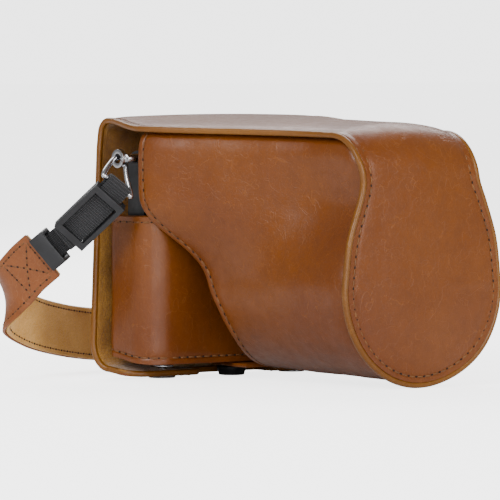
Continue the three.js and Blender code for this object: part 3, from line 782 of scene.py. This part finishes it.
def outline(start, *moves):
    """Points of a path of lines (x, y) and quadratic curves (cx, cy, x, y)."""
    points = [start]
    for move in moves:
        if len(move) == 2:
            points.append(move)
            continue
        (x0, y0), (cx, cy, x1, y1) = points[-1], move
        for i in range(1, 9):
            f = i / 8
            points.append(((1 - f) ** 2 * x0 + 2 * f * (1 - f) * cx + f * f * x1,
                           (1 - f) ** 2 * y0 + 2 * f * (1 - f) * cy + f * f * y1))
    return points


def plate(points, z0, z1):
    """A flat plate with the given outline."""
    n = len(points)
    vertices = [(x, y, z0) for x, y in points] + [(x, y, z1) for x, y in points]
    faces = [tuple(range(n)), tuple(range(n, 2 * n))]
    return vertices, faces + ring_faces(0, n, n)


def soften(piece, width):
    """Round the edges that are sharper than 30 degrees."""
    bevel = piece.modifiers.new("softened_edges", "BEVEL")
    bevel.width = width * MM
    bevel.segments = 3
    bevel.limit_method = "ANGLE"
    bevel.angle_limit = math.radians(30)


def flap_sizes(inset):
    """Half width, end of the tabs, end of the notch and the notch's half width."""
    return FLAP_HALF - inset, UNDER_END_Y + inset, UNDER_FOLD_Y - GAP - 2 + inset, NOTCH_X + inset


def flap_outline(inset):
    """The edge of the flap from fold to fold, round both tabs and the notch between them."""
    wide, end, notch_end, notch = flap_sizes(inset)
    return outline(
        (-wide, UNDER_FOLD_Y), (-wide + 1.5, 3), (-wide + 3, end, -wide + 11, end), (-notch - 3, end),
        (-notch, end, -notch, end + 3), (-notch, notch_end - 1), (-notch, notch_end, -NOTCH_X + 1, notch_end),
        (NOTCH_X - 1, notch_end), (notch, notch_end, notch, notch_end - 1), (notch, end + 3),
        (notch, end, notch + 3, end), (wide - 11, end), (wide - 3, end, wide - 1.5, 3), (wide, UNDER_FOLD_Y))


def flap_rise(x, y):
    """How far the flap lifts on its way to the fold."""
    along = max(y - UNDER_END_Y, 0) / (UNDER_FOLD_Y - UNDER_END_Y)
    return float(heel_share(x)) * min(along ** 1.5, 1)


def flap_layer(inset, z0, z1):
    """One layer of the flap: rows across each tab, joined along the fold."""
    low, high = [], []
    wide, end, notch_end, notch = flap_sizes(inset)
    for x in np.concatenate([np.linspace(-wide, -notch, 44), np.linspace(-notch, notch, 25)[1:-1],
                             np.linspace(notch, wide, 44)]):
        reach = abs(x)
        if reach < notch:
            tip = notch_end - 0.9 * float(smooth(reach, notch - 1, notch))
        else:
            rounded = max((reach - wide + 9) / 9, 0)
            tip = end + 5.5 * (1 - math.sqrt(max(1 - rounded ** 2, 0)))
            tip += 1.5 * float(smooth(reach, notch + 1.5, notch))
        line = np.linspace(tip, UNDER_FOLD_Y, 16)
        low.append([(x, y, z0 + flap_rise(x, y)) for y in line])
        high.append([(x, y, z1 + flap_rise(x, y)) for y in line])
    return sheet(low, high)


make("under_flap_leather", *flap_layer(1.6, UNDER_Z, UNDER_Z + PLY), LEATHER_LOOK, "under_flap",
     "leather", ["under_flap"])
make("under_flap_suede", *flap_layer(1.7, UNDER_Z + LINING_START, UNDER_Z + STACK), SUEDE_LOOK,
     "under_flap", "suede", ["under_flap_lining"])


def flap_edge():
    """The rolled binding round the flap's tabs and notch."""
    path = np.array(flap_outline(1.15))
    path = np.concatenate([[path[0]], path, [path[-1]]])
    rings = []
    for before, here, after in zip(path, path[1:], path[2:]):
        tangent = (after - before) / max(np.linalg.norm(after - before), 1e-9)
        side = np.array([tangent[1], -tangent[0]])

        def place(out, depth, here=here, side=side):
            return np.array([*(here - side * (out - ROLL_MIDDLE)), UNDER_Z + flap_rise(*here) + depth])

        rings.append(rolled(place))
    return rings


make("under_flap_edge", *loft(flap_edge()), BINDING_LOOK, "under_flap", "edge_binding")


def tab_line(sign):
    """Points and normals of the stitch line round one tab, on its underside."""
    wide, end, _, notch = flap_sizes(TAB_STITCH)
    path = outline((sign * wide, 5), (sign * (wide - 3), end, sign * (wide - 10), end),
                   (sign * (NOTCH_X + 5), end), (sign * notch, end, sign * notch, 0), (sign * notch, 5))
    line = np.array([(x, y, UNDER_Z + flap_rise(x, y)) for x, y in path])
    return line, np.tile([0, 0, -1.0], (len(path), 1))


sew("under_flap_stitch", [tab_line(-1), tab_line(1)], "under_flap")


# -------- half case
CASE_STITCH_Z = 8.1
RIM_STITCH = 2.3
SOLE_IN = 1.9
LOW_STEPS = [0, 0.25, 0.5, 0.75, 0.95, 1.1, 1.25, 1.4, 1.6, 1.85, 2.2, 2.8]


def case_path():
    """Columns round the half case: x, y and the outward normal."""
    columns = []
    rf, rb = CASE_R_FRONT, CASE_R_BACK

    def edges(half):
        return -half - 0.05, -half, half, half + 0.05

    def line(x0, y0, x1, y1, nx, ny, stops=()):
        count = int(math.hypot(x1 - x0, y1 - y0))
        marks = {0.0} | {i / count for i in range(count)}
        marks |= {(stop - x0) / (x1 - x0) for stop in stops if x1 != x0}
        for f in sorted(marks):
            if 0 <= f < 1:
                columns.append((x0 + f * (x1 - x0), y0 + f * (y1 - y0), nx, ny))

    def arc(cx, cy, radius, a0):
        for i in range(12):
            a = a0 + i / 12 * PI / 2
            columns.append((cx + radius * math.cos(a), cy + radius * math.sin(a), math.cos(a), math.sin(a)))

    line(-CASE_X + rf, CASE_FRONT, CASE_X - rf, CASE_FRONT, 0, -1, edges(PORT_R))
    arc(CASE_X - rf, CASE_FRONT + rf, rf, -PI / 2)
    line(CASE_X, CASE_FRONT + rf, CASE_X, CASE_BACK - rb, 1, 0)
    arc(CASE_X - rb, CASE_BACK - rb, rb, 0)
    line(CASE_X - rb, CASE_BACK, -CASE_X + rb, CASE_BACK, 0, 1, edges(WINDOW_X))
    arc(-CASE_X + rb, CASE_BACK - rb, rb, PI / 2)
    line(-CASE_X, CASE_BACK - rb, -CASE_X, CASE_FRONT + rf, -1, 0)
    arc(-CASE_X + rf, CASE_FRONT + rf, rf, PI)
    return columns


def heel(y):
    """How far the bottom edge rises towards the back."""
    return 2.8 * float(smooth(y, -12, 12))


def wall_top(x, y, full):
    """Height of the wall, cut down at the lens port in front and the window behind."""
    if y < CASE_FRONT + 4 and abs(x) <= PORT_R:
        return PORT_Z - math.sqrt(PORT_R ** 2 - x * x)
    if y > 0 and abs(x) <= WINDOW_X:
        return BACK_WALL_TOP
    return full


def case_walls(outer, inner, floor, full, worked):
    """The wall between two depths, from the floor up; the worked one is stitched."""
    third = (inner - outer) / 3
    rings = []
    for x, y, nx, ny in case_path():
        top = wall_top(x, y, full) - 0.5
        heights = [min(floor + h, top) for h in LOW_STEPS]
        heights += [heights[-1] + (top - heights[-1]) * share for share in np.linspace(0, 1, 26)[1:]]
        heights = [z + heel(y) * float(smooth(z, 26, floor)) for z in heights]
        ring = []
        for z in heights:
            off = -outer
            if worked:
                off -= float(groove(z, CASE_STITCH_Z + heel(y), 0.3, 0.5))
                off -= 0.1 * math.sin(0.21 * z + 0.13 * x + y * 0.2)
                if top > BACK_WALL_TOP:
                    off -= 0.22 * math.exp(-((top - z - RIM_STITCH + 0.5) / 0.5) ** 2)
            ring.append((x + nx * off, y + ny * off, z))
        ring.append((x - nx * (outer + third), y - ny * (outer + third), top + 0.5))
        ring.append((x - nx * (outer + 2 * third), y - ny * (outer + 2 * third), top + 0.5))
        ring += [(x - nx * inner, y - ny * inner, z) for z in reversed(heights[::3])]
        rings.append(ring)
    return loft(rings, closed=True)


def with_floor(walls, inset, z0, z1):
    """The walls with a floor plate joined on."""
    vertices, faces = walls
    rim = [(x - nx * inset, y - ny * inset) for x, y, nx, ny in case_path()]
    v, f = plate(rim, z0, z1)
    base = len(vertices)
    return list(map(tuple, vertices)) + v, faces + [tuple(k + base for k in face) for face in f]


shell = with_floor(case_walls(0, 1.8, SOLE_Z + 0.3, CASE_TOP, True), 1.0, SHELL_Z, SHELL_Z + FLOOR_T)
make("half_case_leather", *shell, LEATHER_LOOK, "half_case", "leather", ["half_case_shell"])
lining = with_floor(case_walls(1.9, 3.1, LINING_Z, CASE_TOP - 0.6, False), 2.5, LINING_Z, LINING_Z + 1)
make("half_case_suede", *lining, SUEDE_LOOK, "half_case", "suede", ["half_case_lining"])


def sole_reach(y):
    """The sole's half width, drawn in at the rounded corners."""
    reach = CASE_X - SOLE_IN
    for radius, into in ((CASE_R_FRONT, CASE_FRONT + CASE_R_FRONT - y),
                         (CASE_R_BACK, y - CASE_BACK + CASE_R_BACK)):
        if into > 0:
            reach -= radius - SOLE_IN - math.sqrt(max((radius - SOLE_IN) ** 2 - into ** 2, 0))
    return reach


sole_outer, sole_inner = [], []
for y in np.linspace(CASE_FRONT + SOLE_IN, CASE_BACK - SOLE_IN, 60):
    line = np.linspace(-sole_reach(y), sole_reach(y), 41)
    sole_outer.append([(x, y, SOLE_Z + heel(y)) for x in line])
    sole_inner.append([(x, y, SOLE_Z + SOLE_T + heel(y)) for x in line])
make("sole_leather", *sheet(sole_outer, sole_inner), STRAP_LOOK, "half_case", "leather", ["half_case_sole"])


def case_line(columns, heights):
    """Points and normals of a stitch line on the wall."""
    points = [(x - nx * 0.1, y - ny * 0.1, z) for (x, y, nx, ny), z in zip(columns, heights)]
    return np.array(points), np.array([(nx, ny, 0) for x, y, nx, ny in columns])


columns = case_path()
case_lines = [case_line(columns, [CASE_STITCH_Z + heel(y) for x, y, nx, ny in columns])]
for sign in (-1, 1):
    side = [c for c in columns if c[0] * sign > WINDOW_X + 1.5 and c[1] > CASE_FRONT + 4 or
            c[0] * sign > PORT_R + 3 and c[1] < CASE_FRONT + 4]
    # From front to back; along the front wall, where y stays the same, x decides.
    side.sort(key=lambda c: c[1] + (0 if c[1] > CASE_FRONT + 0.01 else c[0] * sign * 0.001))
    case_lines.append(case_line(side, [CASE_TOP - RIM_STITCH] * len(side)))
sew("half_case_stitch", case_lines, "half_case")

# -------- tongue
TONGUE_BEND = 1.6
outer, inner = [], []
tongue_rows = list(np.linspace(TONGUE_ROOT_Y, 0, 40)) + [TONGUE_END_R * math.sin(a) for a in
                                                         np.linspace(0, PI / 2 - 0.12, 14)[1:]]
for y in tongue_rows:
    if y <= TONGUE_FOLD_Y:
        half = TONGUE_X
    elif y <= 0:
        half = TONGUE_X + (TONGUE_END_R - TONGUE_X) * (y - TONGUE_FOLD_Y) / -TONGUE_FOLD_Y
    else:
        half = math.sqrt(TONGUE_END_R ** 2 - y * y)
    line = np.linspace(-half, half, 15)
    outer.append([(x, y, TONGUE_Z) for x in line])
    inner.append([(x, y, TONGUE_Z + TONGUE_T) for x in line])
make("tongue_leather", *sheet(outer, inner), LEATHER_LOOK,
     ("cover", "half_case", (0, (TONGUE_FOLD_Y - TONGUE_BEND) * MM, TONGUE_Z * MM),
      (0, (TONGUE_FOLD_Y + TONGUE_BEND) * MM, TONGUE_Z * MM)), "leather", ["tongue_root", "tongue_tab"])

# -------- strap
# Places and directions across: from the ring to the webbing's end, and round the back to the middle.
STRAP_END = [
    ((-59, -9, 68.6), (0.79, -0.28, -0.55)), ((-61.6, -5.6, 64), (0.74, -0.28, -0.61)),
    ((-66.8, 4.4, 54), (0.62, -0.3, -0.72)), ((-71.5, 13.8, 46), (0.42, -0.28, -0.86)),
]
STRAP_BAND = [
    ((-71.5, 13.8, 46), (0.42, -0.28, -0.86)), ((-75, 22.5, 38.5), (0.3, -0.2, -0.93)),
    ((-75.6, 30, 31.5), (0.26, 0.02, -0.96)), ((-71.5, 36.4, 25.5), (0.15, 0.12, -0.98)),
    ((-60, 41, 20), (0.04, 0.08, -1)), ((-42, 46.5, 15.8), (0, 0, -1)), ((-20, 51.5, 13), (0, 0, -1)),
    ((0, 53, 12.2), (0, 0, -1)),
]


class Curve:
    """A centripetal Catmull-Rom curve."""

    def __init__(self, points, closed=False):
        self.points = [np.array(p, float) for p in points]
        self.closed = closed
        self.run = distances([self.at(i / 400) for i in range(401)])

    def at(self, t):
        p, n = self.points, len(self.points)
        where = (n if self.closed else n - 1) * t
        i = min(int(where), n - 1 if self.closed else n - 2)
        w = where - i
        if self.closed:
            a, b, c, d = (p[(i + k) % n] for k in (-1, 0, 1, 2))
        else:
            b, c = p[i], p[i + 1]
            a = p[i - 1] if i > 0 else 2 * p[0] - p[1]
            d = p[i + 2] if i + 2 < n else 2 * p[-1] - p[-2]
        d0, d1, d2 = (math.sqrt(np.linalg.norm(q - r)) for q, r in ((a, b), (b, c), (c, d)))
        d1 = 1.0 if d1 < 1e-4 else d1
        d0 = d1 if d0 < 1e-4 else d0
        d2 = d1 if d2 < 1e-4 else d2
        t1 = ((b - a) / d0 - (c - a) / (d0 + d1) + (c - b) / d1) * d1
        t2 = ((c - b) / d1 - (d - b) / (d1 + d2) + (d - c) / d2) * d1
        return b + t1 * w + (-3 * b + 3 * c - 2 * t1 - t2) * w * w + (2 * b - 2 * c + t1 + t2) * w ** 3

    def even(self, u):
        """The place that lies a share u of the length along the curve."""
        return float(np.interp(u * self.run[-1], self.run, np.linspace(0, 1, 401)))


def strap_frames(stations, steps):
    """Centre, direction, width and out at even steps."""
    centres = Curve([c for c, _ in stations])
    widths = Curve([w for _, w in stations])
    frames = []
    for i in range(steps + 1):
        t = centres.even(i / steps)
        tangent = centres.at(min(t + 1e-4, 1)) - centres.at(max(t - 1e-4, 0))
        tangent /= np.linalg.norm(tangent)
        width = widths.at(t)
        width = width - width.dot(tangent) * tangent
        width /= np.linalg.norm(width)
        frames.append((centres.at(t), tangent, width, np.cross(tangent, width)))
    return frames


OUT = 1 if strap_frames(STRAP_BAND, 8)[0][3][0] < 0 else -1


def strip_ring(origin, width, out, half, n0, n1, across=9):
    """A flat cross-section with rounded edges, from height n0 to n1."""
    middle, thick = (n0 + n1) / 2, (n1 - n0) / 2
    ring = []
    for direction in (1, -1):
        for w in np.linspace(-direction, direction, across):
            drop = 0.75 if abs(w) > 0.999 else 1.0
            ring.append(origin + width * (w * half) + out * (middle + direction * thick * drop))
        ring.append(origin + width * (direction * (half + abs(thick) * 0.35)) + out * middle)
    return ring


FLIP = np.array([-1, 1, 1])


def mirror(rings):
    return [[p * FLIP for p in ring] for ring in rings]


BAND_STEPS = 176
BAND_SKIP = 5
BAND_TOP = GAP / 2 + BAND_T
BAND_UNDER = -GAP / 2 - SUEDE_T
band_frames = strap_frames(STRAP_BAND, BAND_STEPS)[BAND_SKIP:]


def band(half, n0, n1):
    """One layer of the whole band, from ring to ring."""
    left = [strip_ring(c, w, o * OUT, half, n0, n1, 13) for c, t, w, o in band_frames]
    return loft(left + mirror(left[:-1])[::-1])


make("strap_leather", *band(BAND_HALF, 0.02, BAND_TOP), STRAP_LOOK, "strap", "leather", ["strap_band"])
make("strap_suede_side", *band(BAND_HALF - 0.3, BAND_UNDER, -0.02), STRAP_SUEDE_PAINTED_LIGHT_LOOK, "strap", "suede",
     ["strap_suede"])


def band_line(places, height):
    """A line over the band: (frame index, across) places, at a height off its middle."""
    points, normals = [], []
    for index, across in places:
        low = int(index)
        c, t, w, o = band_frames[min(low, len(band_frames) - 1)]
        c2, t2, w2, o2 = band_frames[min(low + 1, len(band_frames) - 1)]
        f = index - low
        origin, width, out = c + (c2 - c) * f, w + (w2 - w) * f, (o + (o2 - o) * f) * OUT
        points.append(origin + width * across + out * height)
        normals.append(out * (1 if height > 0 else -1))
    return np.array(points), np.array(normals)


def both_sides(lines):
    return lines + [(p * FLIP, n * FLIP) for p, n in lines]


EDGE_STITCH = BAND_HALF - 1.7
BOX_HALF = EDGE_STITCH - 0.1
BOX_END = 22
rows = np.arange(2, len(band_frames) - 1, 0.5)


def edge_pair(height):
    return both_sides([band_line([(i, side * EDGE_STITCH) for i in rows], height) for side in (-1, 1)])


cross = []
for (i0, w0), (i1, w1) in (((2, -BOX_HALF), (2, BOX_HALF)), ((BOX_END, -BOX_HALF), (BOX_END, BOX_HALF)),
                           ((3, -BOX_HALF + 0.8), (BOX_END - 1, BOX_HALF - 0.8)),
                           ((3, BOX_HALF - 0.8), (BOX_END - 1, -BOX_HALF + 0.8))):
    places = [(i0 + (i1 - i0) * f, w0 + (w1 - w0) * f) for f in np.linspace(0, 1, 30)]
    cross.append(band_line(places, BAND_TOP - 0.02))
sew("strap_edge_stitch", edge_pair(BAND_TOP - 0.02), "strap", 3.2, 0.26)
sew("strap_box_stitch", both_sides(cross), "strap", 2.6, 0.26)
sew("strap_inner_stitch", edge_pair(BAND_UNDER), "strap", 3.2, 0.24, "suede")

end_frames = strap_frames(STRAP_END, 80)
stations = [(c, w, -o * OUT) for c, t, w, o in end_frames[::-1]]
top_c, top_t, top_w, top_o = end_frames[0]
for i in range(1, 24):
    a = -PI / 2 + i / 24 * PI
    stations.append((top_c, top_w, top_o * OUT * math.sin(a) - top_t * math.cos(a)))
stations += [(c, w, o * OUT) for c, t, w, o in end_frames[:-16]]
web_rings = [strip_ring(c, w, e, WEB_HALF, WEB_MID - WEB_T / 2, WEB_MID + WEB_T / 2) for c, w, e in stations]
run = distances(np.mean(web_rings, axis=1))
across = np.concatenate([np.linspace(-1, 1, 9), [1.05], np.linspace(1, -1, 9), [-1.05]]) * WEB_HALF
web_uvs = [(s, v) for s in run for v in across]
for side, rings in (("left", web_rings), ("right", mirror(web_rings))):
    make(f"webbing_{side}_woven", *loft(rings), WEB_LOOK, "strap", "webbing", [f"webbing_{side}"], web_uvs)


def wire(points, radius):
    """A closed loop of round wire."""
    points = np.array(points)
    n = len(points)
    middle = points.mean(0)
    normal = np.cross(points[0] - middle, points[n // 4] - middle)
    normal /= np.linalg.norm(normal)
    rings = []
    for i in range(n):
        tangent = points[(i + 1) % n] - points[i - 1]
        tangent /= np.linalg.norm(tangent)
        out = np.cross(tangent, normal)
        out /= np.linalg.norm(out)
        up = np.cross(out, tangent)
        angles = [2 * PI * j / 14 for j in range(14)]
        rings.append([points[i] + out * (radius * math.cos(a)) + up * (radius * math.sin(a)) for a in angles])
    return rings


eye = np.array(LUG, float)
shift = np.array([1.7, 0, 0])


def low(w):
    """A point of the ring's straight side, which the webbing wraps."""
    return top_c + top_w * w


route = Curve([low(6.3), low(5), low(-5), low(-6.3),
               low(-6.3) + (eye - low(-6.3)) * 0.55 - top_w * 1.2, eye - shift, eye + shift,
               low(6.3) + (eye - low(6.3)) * 0.55 + top_w * 1.2], True)
ring_points = [route.at(route.even(i / 170)) for i in range(170)]
ring = wire(ring_points, 0.9)
for side, rings in (("left", ring), ("right", mirror(ring))):
    make(f"strap_wire_{side}", *loft(rings, closed=True), STEEL_LOOK, "strap", "nickel_steel",
         [f"strap_ring_{side}"])

# -------- hard parts kept from the CAD model
KEPT = {
    BLACK_LOOK: ["lug_plate", "adjuster", "keeper"],
    STEEL_LOOK: ["lug_eyelet", "snap_cap", "snap_socket", "snap_stud"],
}
KEPT_LOOKS = {f"{stem}_{side}": look for look, stems in KEPT.items() for stem in stems
              for side in ("left", "right")}
KEPT_LOOKS |= {"tripod_screw": BLACK_LOOK, "screw_bush": STEEL_LOOK, "screw_clip": STEEL_LOOK,
               "half_case_board": BOARD_LOOK}
for name, look in KEPT_LOOKS.items():
    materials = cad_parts[name].data.materials
    materials.clear()
    materials.append(look)
for name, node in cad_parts.items():
    if node.hide_render:
        continue
    weld = node.modifiers.new("weld", "WELD")
    weld.merge_threshold = 1e-6
    soften(node, 0.45 if "adjuster" in name or "keeper" in name else 0.18)
    node.data.shade_smooth()
    node.data.set_sharp_from_angle(angle=math.radians(40))

# -------- stage, light and camera
FLOOR_HALF = 14.0
FLOOR_GLOW = 3.0
WORLD_LIGHT = 0.34
WORLD_SEEN = 3.4
CENTRE = (0, -0.04, 0.05)
stage_look = Look("pale_stage", 0.9)
tint = stage_look.span(stage_look.noise(3, 2), 0.3, 0.7)
stage_look.done(stage_look.mix(tint, (0.86, 0.86, 0.86, 1), (0.88, 0.88, 0.88, 1)))
stage_look.shader.inputs["Emission Color"].default_value = (1, 1, 1, 1)
glow = stage_look.span(stage_look.node("ShaderNodeLightPath").outputs["Is Camera Ray"], 0, 1, 0, FLOOR_GLOW)
stage_look.link(glow, stage_look.shader.inputs["Emission Strength"])
floor_mesh = bpy.data.meshes.new("floor")
corners = [(FLOOR_HALF * x, FLOOR_HALF * y, 0) for x, y in ((-1, -1), (1, -1), (1, 1), (-1, 1))]
floor_mesh.from_pydata(corners, [], [(0, 1, 2, 3)])
floor_mesh.materials.append(stage_look.material)
floor = bpy.data.objects.new("floor", floor_mesh)
scene.collection.objects.link(floor)

world = bpy.data.worlds.new("studio")
world.use_nodes = True
studio = world.node_tree.nodes["Background"]
studio.inputs["Color"].default_value = (1, 1, 1, 1)
seen = world.node_tree.nodes.new("ShaderNodeLightPath").outputs["Is Camera Ray"]
level = world.node_tree.nodes.new("ShaderNodeMapRange")
level.inputs["To Min"].default_value = WORLD_LIGHT
level.inputs["To Max"].default_value = WORLD_SEEN
world.node_tree.links.new(seen, level.inputs["Value"])
world.node_tree.links.new(level.outputs["Result"], studio.inputs["Strength"])
scene.world = world


def softbox(name, place, width, height, power):
    """A rectangular light aimed at the middle of the case; metres and watts."""
    light = bpy.data.lights.new(name, "AREA")
    light.shape = "RECTANGLE"
    light.size, light.size_y = width, height
    light.energy = power
    lamp = bpy.data.objects.new(name, light)
    lamp.location = place
    lamp.rotation_mode = "QUATERNION"
    lamp.rotation_quaternion = (Vector(CENTRE) - Vector(place)).to_track_quat("-Z", "Y")
    scene.collection.objects.link(lamp)


softbox("key", (-1.15, -0.35, 0.75), 0.6, 0.7, 14)
softbox("front", (0.1, -1.6, 0.55), 0.6, 0.8, 15)
softbox("fill", (-0.9, -1.5, 0.2), 1.1, 0.5, 9)
softbox("top", (0.5, 0.75, 0.95), 1.3, 0.7, 15)

camera = bpy.data.objects.new("camera", bpy.data.cameras.new("camera"))
camera.data.lens = 383
camera.data.clip_start, camera.data.clip_end = 0.05, 60
camera.location = (-1.208, -1.466, 0.115)
camera.rotation_mode = "QUATERNION"
camera.rotation_quaternion = (Vector((0.0051, -0.0042, 0.0446)) - camera.location).to_track_quat("-Z", "Y")
scene.collection.objects.link(camera)
scene.camera = camera
